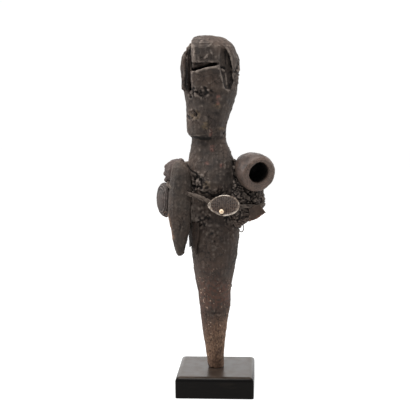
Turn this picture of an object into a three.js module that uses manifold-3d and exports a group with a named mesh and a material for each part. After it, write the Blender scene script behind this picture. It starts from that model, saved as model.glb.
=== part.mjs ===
// Bocio figure: a carved wooden stake figure, caked in dried clay and hung with bound-on pieces,
// standing on a small square block. Millimetres, +Z up. The origin is the middle of the block's
// underside, and the figure looks along -Y. Left and right are those of someone facing it.

import * as THREE from 'three';
import { mergeVertices } from 'three/addons/utils/BufferGeometryUtils.js';
import Module from 'manifold-3d';

// Driving dimensions

const PLINTH_SIDE = 70;
const PLINTH_HEIGHT = 19.4;
const PLINTH_ROUNDING = 4.2;
const PLINTH_CORNER = 1.6;
const GAP = 0.3;
const TOP = 320.6;
const FOOT = PLINTH_HEIGHT + GAP;

const PEG_DEPTH = -16;
const GOURD_MOUTH = new THREE.Vector3(40.9, -28, 199);
const GOURD_AXIS = new THREE.Vector3(0.44, -0.86, -0.26).normalize();
const GOURD_LENGTH = 33;
const GOURD_MOUTH_RADIUS = 15.8;
const GOURD_BORE_RADIUS = 9.2;
const GOURD_BORE_SHIFT = new THREE.Vector3(-0.8, 0, 2.2);
const SHELL_CENTRE = new THREE.Vector3(10, -27.4, 172.6);
const SHELL_LENGTH = 27;
const SHELL_WIDTH = 18.8;
const CORD_RADIUS = 2.1;
const THIN_CORD_RADIUS = 0.7;
const LOOP_RADIUS = 0.6;

// Places well outside the figure, for cuts that run right through it
const CLEAR_LEFT = -34;
const CLEAR_FRONT = -40;
const CLEAR_BACK = 40;
const CLEAR_ABOVE = 326;

const wasm = await Module();
wasm.setup();

// Solids: to and from the boolean library, which only joins and cuts

function solid(geometry) {
  const bare = geometry.clone();
  bare.deleteAttribute('normal');
  bare.deleteAttribute('uv');
  const merged = mergeVertices(bare, 1e-4);
  return new wasm.Manifold(new wasm.Mesh({
    numProp: 3,
    vertProperties: new Float32Array(merged.attributes.position.array),
    triVerts: new Uint32Array(merged.index.array),
  }));
}

function largestBody(manifold) {
  const bodies = manifold.decompose();
  bodies.sort((a, b) => b.volume() - a.volume());
  return bodies[0];
}

function geometryOf(manifold) {
  const mesh = largestBody(manifold).getMesh();
  const geometry = new THREE.BufferGeometry();
  geometry.setAttribute('position', new THREE.BufferAttribute(new Float32Array(mesh.vertProperties), 3));
  geometry.setIndex(new THREE.BufferAttribute(new Uint32Array(mesh.triVerts), 1));
  geometry.computeVertexNormals();
  return geometry;
}

// Stacked rings of points, closed with a fan at each end

function stack(rings) {
  const sides = rings[0].length;
  const points = rings.flat();
  const faces = [];
  for (let ring = 0; ring + 1 < rings.length; ring += 1) {
    for (let side = 0; side < sides; side += 1) {
      const next = (side + 1) % sides;
      const a = ring * sides + side;
      const b = ring * sides + next;
      faces.push(a, b, b + sides, a, b + sides, a + sides);
    }
  }
  for (const [ring, up] of [[0, false], [rings.length - 1, true]]) {
    const middle = points.length;
    const centre = new THREE.Vector3();
    rings[ring].forEach((point) => centre.addScaledVector(point, 1 / sides));
    points.push(centre);
    for (let side = 0; side < sides; side += 1) {
      const a = ring * sides + side;
      const b = ring * sides + ((side + 1) % sides);
      if (up) faces.push(a, b, middle);
      else faces.push(b, a, middle);
    }
  }
  const geometry = new THREE.BufferGeometry().setFromPoints(points);
  geometry.setIndex(faces);
  return geometry;
}

// A smooth curve through [place, value] pairs that never overshoots them

function along(pairs, place) {
  const last = pairs.length - 1;
  if (place <= pairs[0][0]) return pairs[0][1];
  if (place >= pairs[last][0]) return pairs[last][1];
  const slope = (i) => (pairs[i + 1][1] - pairs[i][1]) / (pairs[i + 1][0] - pairs[i][0]);
  const tangent = (i) => {
    if (i === 0) return slope(0);
    if (i === last) return slope(last - 1);
    const [before, after] = [slope(i - 1), slope(i)];
    return before * after <= 0 ? 0 : (2 * before * after) / (before + after);
  };
  let i = 0;
  while (pairs[i + 1][0] < place) i += 1;
  const width = pairs[i + 1][0] - pairs[i][0];
  const t = (place - pairs[i][0]) / width;
  const [t2, t3] = [t * t, t * t * t];
  return (2 * t3 - 3 * t2 + 1) * pairs[i][1] + (t3 - 2 * t2 + t) * width * tangent(i)
    + (3 * t2 - 2 * t3) * pairs[i + 1][1] + (t3 - t2) * width * tangent(i + 1);
}

// Low, slow lumps, the same in every run

function lump(point, size, height) {
  const [x, y, z] = [point.x / size, point.y / size, point.z / size];
  return height * (Math.sin(2.1 * x + 1.3 * z) * Math.cos(1.7 * y - 0.8 * z)
    + 0.6 * Math.sin(3.7 * z + 2.3 * y + 0.7) * Math.cos(2.9 * x + 0.4));
}

// A body lofted between its left and right edges and its front and back, read at each level.
// square is 2 for an oval section and grows towards a box; swell adds an even skin.

function loft(shape, levels, { sides = 32, swell = 0, lumpSize = 12, lumpHeight = 0 } = {}) {
  const power = (value, exponent) => Math.sign(value) * Math.abs(value) ** exponent;
  const rings = levels.map((z) => {
    const left = along(shape.left, z) - swell;
    const right = along(shape.right, z) + swell;
    const front = along(shape.front, z) - swell;
    const back = along(shape.back, z) + swell;
    const exponent = 2 / (shape.square ? along(shape.square, z) : 2);
    const ring = [];
    for (let side = 0; side < sides; side += 1) {
      const angle = (2 * Math.PI * (side + 0.5)) / sides;
      const across = power(Math.cos(angle), exponent);
      const deep = power(Math.sin(angle), exponent);
      const point = new THREE.Vector3(
        (left + right) / 2 + ((right - left) / 2) * across,
        (front + back) / 2 + ((back - front) / 2) * deep,
        z,
      );
      const out = lump(point, lumpSize, lumpHeight);
      point.x += out * across;
      point.y += out * deep;
      ring.push(point);
    }
    return ring;
  });
  if (swell) {
    rings[0].forEach((point) => { point.z -= swell; });
    rings[rings.length - 1].forEach((point) => { point.z += swell; });
  }
  return stack(rings);
}

function steps(from, to, count) {
  return Array.from({ length: count + 1 }, (_, i) => from + ((to - from) * i) / count);
}

// An outline drawn on the front view as [x, z] pairs, run through from depth near to depth far

function frontSlab(outline, near, far) {
  const shape = new THREE.Shape(outline.map(([x, z]) => new THREE.Vector2(x, z)));
  const geometry = new THREE.ExtrudeGeometry(shape, { depth: far - near, bevelEnabled: false });
  geometry.rotateX(Math.PI / 2);
  geometry.translate(0, far, 0);
  return geometry;
}

function mesh(name, geometry, { colour, roughness, metalness = 0 }) {
  const look = { color: colour, roughness, metalness, flatShading: true };
  const made = new THREE.Mesh(geometry, new THREE.MeshStandardMaterial(look));
  made.name = name;
  return made;
}

// Finishes

const BLACK_LACQUER = { colour: 0x232221, roughness: 0.35 };
const CAKED_WOOD = { colour: 0x4b433d, roughness: 0.9 };
const DRIED_CLAY = { colour: 0x453d38, roughness: 0.95 };
const GOURD_RIND = { colour: 0x7a6254, roughness: 0.6 };
const HIDE = { colour: 0x5a443a, roughness: 0.8 };
const POD = { colour: 0x5b4e48, roughness: 0.8 };
const CRUSTED_CORD = { colour: 0x4e4641, roughness: 0.95 };
const WORN_SHELL = { colour: 0x8a7a6c, roughness: 0.35 };
const PALE_BEAD = { colour: 0xd9b48c, roughness: 0.5 };
const BARK = { colour: 0x2f2824, roughness: 0.95 };

// Plinth: square block, its upper edges rounded over

function roundedSquare(half, corner, z) {
  const ring = [];
  const cornerSteps = 3;
  for (let quarter = 0; quarter < 4; quarter += 1) {
    for (let step = 0; step <= cornerSteps; step += 1) {
      const angle = (quarter + step / cornerSteps) * (Math.PI / 2);
      const centre = (quarter + 0.5) * (Math.PI / 2);
      const reach = (half - corner) * Math.SQRT2;
      ring.push(new THREE.Vector3(
        reach * Math.cos(centre) + corner * Math.cos(angle),
        reach * Math.sin(centre) + corner * Math.sin(angle),
        z,
      ));
    }
  }
  return ring;
}

function plinth() {
  const half = PLINTH_SIDE / 2;
  const rings = [roundedSquare(half, PLINTH_CORNER, 0)];
  const roundingSteps = 5;
  for (let step = 0; step <= roundingSteps; step += 1) {
    const angle = (step / roundingSteps) * (Math.PI / 2);
    const inset = PLINTH_ROUNDING * (1 - Math.cos(angle));
    const z = PLINTH_HEIGHT - PLINTH_ROUNDING * (1 - Math.sin(angle));
    rings.push(roundedSquare(half - inset, PLINTH_CORNER, z));
  }
  return stack(rings);
}

// Carved figure: hooded head, neck, bulging chest and tapering stake, all one piece of wood.
// Pairs are [height, place of that edge].

const BELLY_LIP = 182;
const CHIN = 233.4;
const NECK = 230.8;
const HOOD_FOOT = 270.5;

const FIGURE = {
  left: [[FOOT, -7.3], [33, -9.3], [56, -12.4], [95, -16.8], [112, -19.6], [132, -21.8], [165, -22.4],
    [200, -24.2], [211, -23.6], [222, -21], [NECK, -20.2], [CHIN, -22.6], [238, -24.6], [267, -24.9],
    [273, -27.4], [290, -28.4], [302, -27.8], [310, -25.4], [316, -21.4], [319.2, -16.5], [TOP, -10]],
  right: [[FOOT, 7], [33, 7.2], [56, 10.2], [78, 13.3], [95, 14.7], [112, 17.3], [133, 21.2], [150, 21.3],
    [165, 19.8], [206, 18.5], [212, 17.2], [223, 12.4], [CHIN, 10.1], [249, 13.5], [258, 16.3],
    [HOOD_FOOT, 20.1], [290, 22.8], [302, 22.2], [310, 18.6], [315, 14.8], [319, 7], [TOP, -2]],
  front: [[FOOT, -7.3], [33, -8.4], [56, -11.4], [78, -13.9], [100, -16.4], [125, -18.8], [150, -19.8],
    [176, -18.8], [BELLY_LIP - 2.2, -18.8], [BELLY_LIP, -22.2], [192, -23.8], [204, -22], [213, -19],
    [222, -15.6], [NECK, -14.2], [CHIN, -17.8], [239, -19], [267, -19.6], [HOOD_FOOT, -20], [275, -22],
    [288, -23.6], [300, -24.8], [309, -24.2], [314, -22.4], [318, -17.5], [TOP, -9]],
  back: [[FOOT, 7.3], [33, 8.2], [56, 11.2], [78, 13.6], [100, 16.2], [125, 19], [150, 21], [190, 21],
    [206, 20], [216, 18.4], [NECK, 16.8], [238, 17.6], [258, 21], [275, 24], [294, 26], [305, 24.6],
    [313, 19.8], [318, 12], [TOP, 3]],
  square: [[FOOT, 2.1], [150, 2.1], [170, 2.5], [200, 2.4], [240, 2.5], [300, 2.8], [TOP, 2.3]],
};

const FIGURE_LEVELS = [
  ...steps(FOOT, 172, 13), BELLY_LIP - 2.2, BELLY_LIP, 186, ...steps(193, 226, 4), NECK, CHIN, 236,
  ...steps(243, HOOD_FOOT, 3), 275, ...steps(283, 310, 3), 314, 317.2, 319.2, TOP,
];

const FIGURE_FINISH = { sides: 30, lumpSize: 13, lumpHeight: 0.35 };
const WEB_FINISH = { sides: 14, lumpSize: 7, lumpHeight: 0.4 };

const BLOCK_EDGE = -18.2;
const BROKEN_TOP = 301;
const HOLLOW_TILT = THREE.MathUtils.degToRad(38);
const HOLLOW_FLOOR = -19.8;
const SLOT_FLOOR = -12;
const RIM_FRONT = -13.5;
const CLEFT_FLOOR = -4;
const SPLINTER_FRONT = -12;
const SPLINTER_BACK = 1;

// The eye slot, a wedge under the forehead that opens to the left
const EYE_SLOT = [[CLEAR_LEFT, 296.9], [CLEAR_LEFT, 288.9], [-15.6, 289.2], [-7.8, 291.3], [5.4, 294],
  [4.2, 296.4]];

// The hollow between the face and the rim of the hood at the right
const HOOD_HOLLOW = [[10.4, 274], [15.6, 273], [17.4, 281.3], [17.2, 291.6], [15, 301.9], [11.5, 307.8],
  [8.1, 309.5], [6.2, 303], [6.6, 294]];

// The rim of the hood at the left stands back from the face, with a cleft between, and is broken off above.
// Splinters of it still stand up in the break.
const RIM_STEP = [[CLEAR_LEFT, 266], [BLOCK_EDGE, 266], [BLOCK_EDGE, CLEAR_ABOVE],
  [CLEAR_LEFT, CLEAR_ABOVE]];
const CLEFT = [[-22, 271], [BLOCK_EDGE, 270], [BLOCK_EDGE, CLEAR_ABOVE], [-22.6, CLEAR_ABOVE],
  [-23.6, 290]];
const BROKEN_OFF = [[CLEAR_LEFT, BROKEN_TOP], [BLOCK_EDGE - 0.4, BROKEN_TOP + 4],
  [BLOCK_EDGE - 0.4, CLEAR_ABOVE], [CLEAR_LEFT, CLEAR_ABOVE]];
const SPLINTERS = [[-26.6, 290], [-22.6, 290], [-20.6, 303], [-19.3, 308], [-20.2, 314.3], [-21.8, 310.6],
  [-23.4, 309.4], [-24.2, 304.4], [-25.4, 306.6], [-27, 302.4]];

function hoodHollow() {
  const slope = Math.tan(HOLLOW_TILT);
  const inner = HOOD_HOLLOW[HOOD_HOLLOW.length - 1][0];
  const geometry = frontSlab(HOOD_HOLLOW, CLEAR_FRONT, HOLLOW_FLOOR);
  geometry.translate(-inner, 0, 0);
  geometry.applyMatrix4(new THREE.Matrix4().makeShear(slope, 0, 0, 0, 0, 0));
  geometry.translate(inner, 0, 0);
  return geometry;
}

// Clay that fills the groove between the peg and the chest, part of the crust on the figure
const CLAY_WEB = {
  left: [[154, -21], [160, -24], [180, -24], [186, -22]],
  right: [[154, -10], [160, -4], [180, -4], [186, -10]],
  front: [[154, -13], [160, -19], [180, -20.4], [186, -17]],
  back: [[154, -4], [186, -4]],
  square: [[154, 2.4], [186, 2.6]],
};
const WEB_LEVELS = steps(154, 186, 6);

function carvedFigure() {
  let body = solid(loft(FIGURE, FIGURE_LEVELS, FIGURE_FINISH));
  body = body.subtract(solid(frontSlab(BROKEN_OFF, CLEAR_FRONT, CLEAR_BACK)));
  body = body.subtract(solid(frontSlab(RIM_STEP, CLEAR_FRONT, RIM_FRONT)));
  body = body.subtract(solid(frontSlab(CLEFT, CLEAR_FRONT, CLEFT_FLOOR)));
  body = body.add(solid(frontSlab(SPLINTERS, SPLINTER_FRONT, SPLINTER_BACK)));
  body = body.subtract(solid(frontSlab(EYE_SLOT, CLEAR_FRONT, SLOT_FLOOR)));
  body = body.add(solid(loft(CLAY_WEB, WEB_LEVELS, WEB_FINISH)));
  return body.subtract(solid(hoodHollow()));
}

// Peg bound to the left side: a long rounded stick under clay, blunt at the tip

const PEG = {
  left: [[125.8, -32.4], [128, -34], [136, -35.9], [149, -38.4], [164, -41], [176, -39.8], [196, -38.6],
    [205, -37.4], [209.4, -34.8], [211.4, -32]],
  right: [[125.8, -29], [128, -27.2], [137, -24.6], [149, -22.2], [156, -21.6], [176, -19.6], [196, -20.2],
    [203, -21.2], [209.4, -25], [211.4, -28]],
  front: [[125.8, PEG_DEPTH - 1.6], [128, PEG_DEPTH - 3.2], [149, PEG_DEPTH - 8], [164, PEG_DEPTH - 10],
    [190, PEG_DEPTH - 10], [204, PEG_DEPTH - 8], [211.4, PEG_DEPTH - 2]],
  back: [[125.8, PEG_DEPTH + 1.6], [128, PEG_DEPTH + 3.2], [149, PEG_DEPTH + 8], [164, PEG_DEPTH + 10],
    [190, PEG_DEPTH + 10], [204, PEG_DEPTH + 8], [211.4, PEG_DEPTH + 2]],
};
const PEG_LEVELS = [125.8, 128, 132, 137, 143, 149, 156, 164, 171, 179, 187, 195, 202, 206, 209.4, 211.4];

function peg(swell = 0) {
  return solid(loft(PEG, PEG_LEVELS, { sides: 16, swell, lumpSize: 9, lumpHeight: 0.35 }));
}

// Lashing: one turn of cord round the figure and all that it holds, from the chest round by the left

const LASHING = [
  [-2.8, -23.6, 174.6], [-8.1, -24, 178], [-14.2, -24, 180.3], [-20.3, -23.8, 182],
  [-28, -24.7, 184.4], [-35, -22.7, 187], [-39.4, -17.4, 188.8], [-40.8, -9, 190],
  [-39.6, 2, 190], [-34, 12, 188], [-23, 19.6, 184], [-8, 22.6, 180],
  [10, 22.4, 176], [25, 17, 172.6], [37, 10, 171], [43, 1, 170.6], [42.8, -8, 170.8],
  [39.6, -15.4, 171.2], [32, -19.8, 171], [24, -22.2, 171.2], [14, -23, 171.6], [5, -23, 172.8],
];

// A round cord swept along a curve, closed into a loop or capped at both ends

function cord(points, radius, { count = 50, sides = 8, closed = false } = {}) {
  const route = points.map((point) => new THREE.Vector3(...point));
  const curve = new THREE.CatmullRomCurve3(route, closed, 'centripetal');
  const frames = curve.computeFrenetFrames(count, closed);
  const rings = [];
  for (let step = 0; step < (closed ? count : count + 1); step += 1) {
    const centre = curve.getPointAt(step / count);
    const ring = [];
    for (let side = 0; side < sides; side += 1) {
      const angle = (2 * Math.PI * side) / sides;
      ring.push(centre.clone()
        .addScaledVector(frames.normals[step], radius * Math.cos(angle))
        .addScaledVector(frames.binormals[step], radius * Math.sin(angle)));
    }
    rings.push(ring);
  }
  if (!closed) return stack(rings);
  const faces = [];
  for (let ring = 0; ring < count; ring += 1) {
    for (let side = 0; side < sides; side += 1) {
      const [a, b] = [ring * sides + side, ring * sides + ((side + 1) % sides)];
      const ahead = (((ring + 1) % count) - ring) * sides;
      faces.push(a, b, b + ahead, a, b + ahead, a + ahead);
    }
  }
  const geometry = new THREE.BufferGeometry().setFromPoints(rings.flat());
  geometry.setIndex(faces);
  return geometry;
}

function lashing(radius = CORD_RADIUS) {
  return cord(LASHING, radius, { closed: true, count: 46, sides: 7 });
}

// A turned shape about an axis through a point. Pairs are [radius, place along the axis].

function turned(pairs, centre, axis, { sides = 24, squash = 1, about = 0 } = {}) {
  const geometry = new THREE.LatheGeometry(pairs.map(([r, h]) => new THREE.Vector2(r, h)), sides);
  geometry.scale(squash, 1, 1);
  geometry.rotateY(about);
  geometry.applyQuaternion(new THREE.Quaternion().setFromUnitVectors(new THREE.Vector3(0, 1, 0), axis));
  geometry.translate(centre.x, centre.y, centre.z);
  return geometry;
}

// Medicine gourd: a short hollow cup, narrower towards its closed end behind

const GOURD_OUTSIDE = [[0, -GOURD_LENGTH], [7, -GOURD_LENGTH + 1], [11.4, -28], [14.2, -21], [16.4, -12],
  [16.6, -6], [GOURD_MOUTH_RADIUS, -1.6], [GOURD_MOUTH_RADIUS - 1.8, 0]];
const GOURD_BORE = [[0, -25], [5, -24], [GOURD_BORE_RADIUS - 0.8, -19], [GOURD_BORE_RADIUS, -2],
  [GOURD_BORE_RADIUS + 0.9, 0.5], [0, 0.5]];

function gourd() {
  const centre = GOURD_BORE_SHIFT.clone().projectOnPlane(GOURD_AXIS).add(GOURD_MOUTH);
  const outside = turned([...GOURD_OUTSIDE, [0, 0]], GOURD_MOUTH, GOURD_AXIS, { sides: 24 });
  return solid(outside).subtract(solid(turned(GOURD_BORE, centre, GOURD_AXIS, { sides: 18 })));
}

function gourdSkin() {
  const grown = ([radius, place]) => [
    radius === 0 ? 0 : radius + GAP,
    place < -GOURD_LENGTH / 2 ? place - GAP : place + GAP,
  ];
  return turned([...GOURD_OUTSIDE.map(grown), [0, GAP]], GOURD_MOUTH, GOURD_AXIS, { sides: 24 });
}

// Clay packs. Their inner edges run into the figure, whose skin is then cut away from them.

const RIGHT_CLAY = {
  left: [[149, 14], [210, 8]],
  right: [[149, 22.4], [154, 27.4], [158, 37.6], [162, 42.4], [169, 44], [178, 45], [184, 44], [190, 42],
    [198, 35], [205, 28], [210.5, 23]],
  front: [[149, -9], [155, -14], [160, -18], [166, -20], [173, -21], [178, -20], [184, -18], [192, -15],
    [202, -11], [210.5, -5]],
  back: [[149, 4], [156, 10], [166, 15], [180, 17], [196, 15], [206, 10], [210.5, 4]],
  square: [[149, 2.2], [160, 3], [180, 3], [210, 2.4]],
};

const LEFT_CLAY = {
  left: [[158, -30], [163, -36], [170, -39], [182, -40], [194, -38], [203, -33], [208.5, -27]],
  right: [[158, -14], [208.5, -12]],
  front: [[158, -8], [208.5, -10]],
  back: [[158, 2], [163, 9], [172, 14], [190, 15], [201, 12], [208.5, 5]],
  square: [[158, 2.2], [208, 2.5]],
};

// Hide flap: a stiff scrap tucked under the lashing, its outer end bent back

const FLAP_OUTLINE = [[30.8, 172], [41.6, 171.8], [43.6, 168.6], [46.4, 165.2], [38.6, 159.9],
  [31.4, 157.9]];
const FLAP_FRONT = -22.2;
const FLAP_BACK = -19.9;
const FLAP_HINGE = new THREE.Vector3(30.8, -21, 165);
const FLAP_TURN = THREE.MathUtils.degToRad(14);
const FLAP_HALF_WIDTH = 10;
const FLAP_HALF_HEIGHT = 8;

function flap(swell = 0) {
  const geometry = frontSlab(FLAP_OUTLINE, FLAP_FRONT - swell, FLAP_BACK + swell);
  geometry.translate(-FLAP_HINGE.x, -FLAP_HINGE.y, -FLAP_HINGE.z);
  geometry.rotateZ(FLAP_TURN);
  geometry.scale(1 + swell / FLAP_HALF_WIDTH, 1, 1 + swell / FLAP_HALF_HEIGHT);
  geometry.translate(FLAP_HINGE.x, FLAP_HINGE.y, FLAP_HINGE.z);
  return geometry;
}

// Knobbed pod: an egg shaped lump with knobs down its outer side and a flat cap.
// Knobs are [x, y, z, radius].

const POD_CENTRE = new THREE.Vector3(-34.4, 1, 200);
const POD_HALF_SIZE = [11.4, 9.4, 11.8];
const POD_KNOBS = [[-43, 0, 204.6, 2.6], [-44, -0.6, 198.6, 2.6], [-43, -1, 193, 2.8],
  [-38.6, -1, 207, 3.4], [-30.4, 0, 208.4, 4]];

function egg(centre, [x, y, z], swell = 0, detail = 7) {
  const geometry = new THREE.SphereGeometry(1, detail + 6, detail);
  geometry.rotateX(Math.PI / 2);
  geometry.scale(x + swell, y + swell, z + swell);
  geometry.translate(centre.x, centre.y, centre.z);
  return geometry;
}

function pod(swell = 0) {
  let body = solid(egg(POD_CENTRE, POD_HALF_SIZE, swell));
  for (const [x, y, z, radius] of POD_KNOBS) {
    body = body.add(solid(egg(new THREE.Vector3(x, y, z), [radius, radius, radius], swell, 4)));
  }
  return body;
}

// Ridged disc: an oval lens standing on edge, with ridges round its rim

const DISC_CENTRE = new THREE.Vector3(-45.4, -0.6, 174.8);
const DISC_AXIS = new THREE.Vector3(-0.8, -0.6, 0).normalize();
const DISC_HALF_HEIGHT = 15.6;
const DISC_THICKNESS = 5.4;
const DISC_SQUASH = 0.68;

function disc(swell = 0) {
  const radii = [0, 4, 8, 9.6, 11, 12.2, 13.4, 14.6, DISC_HALF_HEIGHT];
  const face = radii.map((radius, i) => {
    const crown = DISC_THICKNESS * Math.sqrt(1 - (radius / (DISC_HALF_HEIGHT + 0.6)) ** 2);
    const ridge = i > 2 && i < 8 ? 0.55 * (i % 2 ? -1 : 1) : 0;
    return [radius, crown + ridge];
  });
  const grown = ([radius, place]) => [radius === 0 ? 0 : radius + swell, place + swell];
  const outside = face.map(grown).reverse();
  const inside = face.filter((_, i) => i === 0 || i % 4 === 0).map(grown).map(([r, h]) => [r, -h]);
  return solid(turned([...inside, ...outside], DISC_CENTRE, DISC_AXIS, { sides: 24, squash: DISC_SQUASH }));
}

// Disc ring: stuck to the lower rim of the disc, turned a little to the left

const RING_RADIUS = 2.1;
const RING_WIRE_RADIUS = 0.75;
const RING_TURN = THREE.MathUtils.degToRad(-24);

function discRing() {
  const geometry = new THREE.TorusGeometry(RING_RADIUS, RING_WIRE_RADIUS, 6, 14);
  geometry.rotateX(Math.PI / 2);
  geometry.rotateZ(RING_TURN);
  geometry.translate(-43.2, -11.6, 162.6);
  return geometry;
}

// Chest shell: a shallow oval dish, pointed at the left, ribbed inside, and the bead set in it

const SHELL_POINT = 0.12;
const SHELL_PINCH = 0.25;

function shell() {
  const sides = 24;
  const outline = (side, share) => {
    const angle = (2 * Math.PI * side) / sides;
    const across = Math.cos(angle);
    const towardPoint = Math.min(across, 0) ** 2;
    return [
      share * (SHELL_LENGTH / 2) * across * (1 + SHELL_POINT * towardPoint),
      share * (SHELL_WIDTH / 2) * Math.sin(angle) * (1 - SHELL_PINCH * towardPoint),
    ];
  };
  const layer = (share, depth, rib = 0) => Array.from({ length: sides }, (_, side) => {
    const [x, z] = outline(side, share);
    const bump = side % 2 ? rib : -rib;
    return new THREE.Vector3(SHELL_CENTRE.x + x, SHELL_CENTRE.y + depth + bump, SHELL_CENTRE.z + z);
  });
  return stack([layer(0.3, 2.2), layer(0.72, 1.7), layer(0.97, 0.3), layer(1, -0.7), layer(0.92, -1),
    layer(0.84, 0.1, 0.15), layer(0.5, 0.9, 0.25), layer(0.14, 1.1)]);
}

const BEAD_CENTRE = new THREE.Vector3(7.4, SHELL_CENTRE.y - 1.5, 167.4);
const BEAD_HALF_SIZE = [2.1, 1.3, 2.1];

// Bark strip: clings to the side of the stake between it and the peg, torn off below

const BARK_THICKNESS = 2.3;
const BARK_BACK = -4;
const BARK_OUTLINE = [[-23.4, 156], [-13.6, 156], [-13.2, 146], [-15.2, 136], [-15.4, 127], [-17, 126],
  [-17.4, 133.4], [-19.4, 131.6], [-20.8, 134], [-23, 131.4], [-23.6, 136]];

function bark() {
  const skin = { ...FIGURE_FINISH, sides: 24, swell: BARK_THICKNESS };
  const outer = solid(loft(FIGURE, steps(120, 164, 6), skin));
  return outer.intersect(solid(frontSlab(BARK_OUTLINE, CLEAR_FRONT, BARK_BACK)));
}

// Thin cord: runs down the front from the lashing, stuck in the clay all the way

const THIN_CORD_X = -17.6;

function thinCord(radius = THIN_CORD_RADIUS) {
  const route = steps(178, 157.4, 6).map((z) => [THIN_CORD_X, along(CLAY_WEB.front, z) + 0.6, z]);
  return cord(route, radius, { count: 14, sides: 6 });
}

// Cord loop: a tiny stiff loop from the underside of the right clay pack to the stake

const LOOP = [[25.4, -5, 152.4], [26.2, -6, 149.4], [25, -6.6, 146.4], [22.9, -6.6, 146.4],
  [21.8, -6.4, 149]];

// Booleans: each piece is cut clear of those that it touches

const cut = (body, ...others) => others.reduce((left, other) => left.subtract(other), body);

const heldLevels = FIGURE_LEVELS.filter((z) => z > 110 && z < 240);
const fatStake = solid(loft(FIGURE, heldLevels, { ...FIGURE_FINISH, sides: 24, swell: GAP + 0.2 }));
const fatWeb = solid(loft(CLAY_WEB, WEB_LEVELS, { ...WEB_FINISH, swell: GAP }));
const fatFigure = fatStake.add(fatWeb);
const fatPeg = peg(GAP);
const fatLashing = solid(lashing(CORD_RADIUS + GAP));
const fatThinCord = solid(thinCord(THIN_CORD_RADIUS + GAP));
const fatDisc = disc(GAP);
const fatPod = pod(GAP);

const clay = { sides: 18, lumpSize: 7, lumpHeight: 0.9 };
const rightClay = cut(
  solid(loft(RIGHT_CLAY, [149, 152, ...steps(155, 205, 10), 208.5, 210.5], clay)),
  fatFigure, solid(gourdSkin()), solid(flap(GAP)), fatLashing,
);
const leftClay = cut(
  solid(loft(LEFT_CLAY, [158, 160, ...steps(163, 203, 7), 206.5, 208.5], clay)),
  fatFigure, fatPeg, fatDisc, fatPod, fatLashing,
);

const stakeFigure = cut(carvedFigure(), fatPeg, fatLashing, fatThinCord);

const figure = new THREE.Group();
figure.add(mesh('plinth', plinth(), BLACK_LACQUER));
figure.add(mesh('carved_figure', geometryOf(stakeFigure), CAKED_WOOD));
figure.add(mesh('medicine_gourd', geometryOf(gourd()), GOURD_RIND));
figure.add(mesh('right_clay_pack', geometryOf(rightClay), DRIED_CLAY));
figure.add(mesh('hide_flap', geometryOf(cut(solid(flap()), fatLashing)), HIDE));
figure.add(mesh('bound_peg', geometryOf(cut(peg(), fatLashing)), DRIED_CLAY));
figure.add(mesh('left_clay_pack', geometryOf(leftClay), DRIED_CLAY));
figure.add(mesh('knobbed_pod', geometryOf(cut(pod(), fatPeg, fatFigure, fatLashing)), POD));
figure.add(mesh('ridged_disc', geometryOf(cut(disc(), fatPeg, fatLashing)), POD));
figure.add(mesh('disc_ring', discRing(), BARK));
figure.add(mesh('lashing_cord', lashing(), CRUSTED_CORD));
figure.add(mesh('chest_shell', shell(), WORN_SHELL));
figure.add(mesh('shell_bead', egg(BEAD_CENTRE, BEAD_HALF_SIZE, 0, 6), PALE_BEAD));
figure.add(mesh('bark_strip', geometryOf(cut(bark(), fatFigure, fatPeg)), BARK));
figure.add(mesh('thin_cord', thinCord(), CRUSTED_CORD));
figure.add(mesh('cord_loop', cord(LOOP, LOOP_RADIUS, { count: 12, sides: 6 }), CRUSTED_CORD));

export default figure;
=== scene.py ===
"""Bocio figure, bound and caked in clay, on its lacquered block: its looks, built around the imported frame.

Sizes are in millimetres unless a line says otherwise. Left and right are those of someone facing the figure.
"""

import math
from itertools import product

import bmesh
import bpy
import numpy as np
from mathutils import Matrix, Vector


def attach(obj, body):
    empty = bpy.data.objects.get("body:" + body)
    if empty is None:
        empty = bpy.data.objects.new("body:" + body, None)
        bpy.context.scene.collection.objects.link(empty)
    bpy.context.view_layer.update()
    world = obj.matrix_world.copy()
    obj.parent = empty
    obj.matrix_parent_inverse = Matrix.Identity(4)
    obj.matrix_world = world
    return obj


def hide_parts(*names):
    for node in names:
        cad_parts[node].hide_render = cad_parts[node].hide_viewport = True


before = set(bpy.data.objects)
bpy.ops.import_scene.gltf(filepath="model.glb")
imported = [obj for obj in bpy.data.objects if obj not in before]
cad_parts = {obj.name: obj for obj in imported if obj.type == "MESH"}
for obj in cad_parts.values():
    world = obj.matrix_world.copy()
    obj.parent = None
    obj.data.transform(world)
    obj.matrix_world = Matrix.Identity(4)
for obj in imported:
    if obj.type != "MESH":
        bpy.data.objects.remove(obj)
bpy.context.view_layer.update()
scene = bpy.context.scene


# Camera and studio. The camera stands 0.8 m in front of the figure, a little to its right and above its chest, and
# looks slightly down. Big soft lamps stand above, behind and at both sides, so the front is the darkest side.

MM = 0.001
EYE = (45.7, -807.5, 267.5)
EYE_TURN = math.radians(3.87)
EYE_DIP = math.radians(6.89)
EYE_ROLL = math.radians(-0.6)
PICTURE_SIDE = 410
FOCUS_IN_PIXELS = 900

lens = bpy.data.cameras.new("camera")
lens.sensor_width = 36
lens.lens = lens.sensor_width * FOCUS_IN_PIXELS / PICTURE_SIDE
lens.clip_start = 0.01
camera = bpy.data.objects.new("camera", lens)
scene.collection.objects.link(camera)
camera.matrix_world = (
    Matrix.Translation(Vector(EYE) * MM)
    @ Matrix.Rotation(EYE_TURN, 4, "Z")
    @ Matrix.Rotation(math.pi / 2 - EYE_DIP, 4, "X")
    @ Matrix.Rotation(EYE_ROLL, 4, "Z")
)
scene.camera = camera
scene.view_settings.view_transform = "Standard"

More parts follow.
